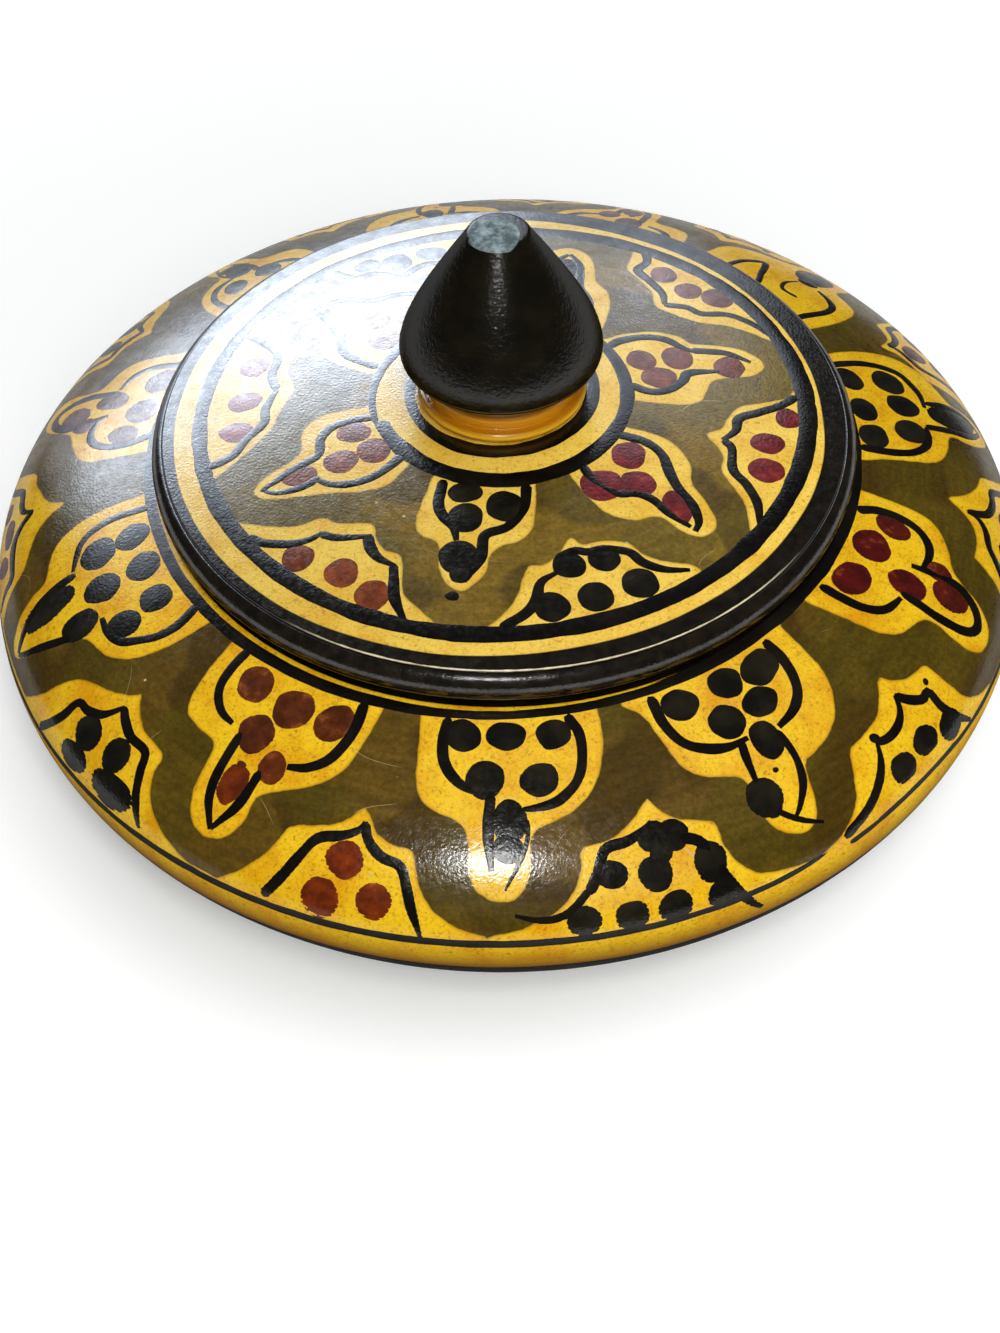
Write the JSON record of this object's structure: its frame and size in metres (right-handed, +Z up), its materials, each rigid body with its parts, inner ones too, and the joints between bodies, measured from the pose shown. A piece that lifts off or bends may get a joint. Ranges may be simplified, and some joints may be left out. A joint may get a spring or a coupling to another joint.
{
  "type": "trinket box",
  "caption": "Squat round turned wooden box with a painted and varnished surface, a lift-off domed lid and a dark tapered knob.",
  "frame": {"origin": "middle of the flat foot, on the surface the box stands on", "axes": "+Z up along the turning axis, from the foot to the knob; +X and +Y are level"},
  "size_m": [0.12, 0.12, 0.0558],
  "materials": {
    "painted_bowl": "painted ornament in yellow, olive, black and red-brown under gloss varnish",
    "painted_lid": "painted ornament in yellow, olive, black and red-brown under gloss varnish, black rolled edge",
    "amber_collar": "amber varnish over turned wood",
    "black_knob": "black paint, satin, worn at the flat top"
  },
  "bodies": {
    "base": {"bowl": "painted_bowl"},
    "cover": {"lid": "painted_lid", "collar": "amber_collar", "knob": "black_knob"}
  },
  "joints": [
    {"name": "lid_lift", "type": "slide", "parent": "base", "child": "cover", "axis": [0, 0, 1], "range_m": [0, 0.045]}
  ]
}
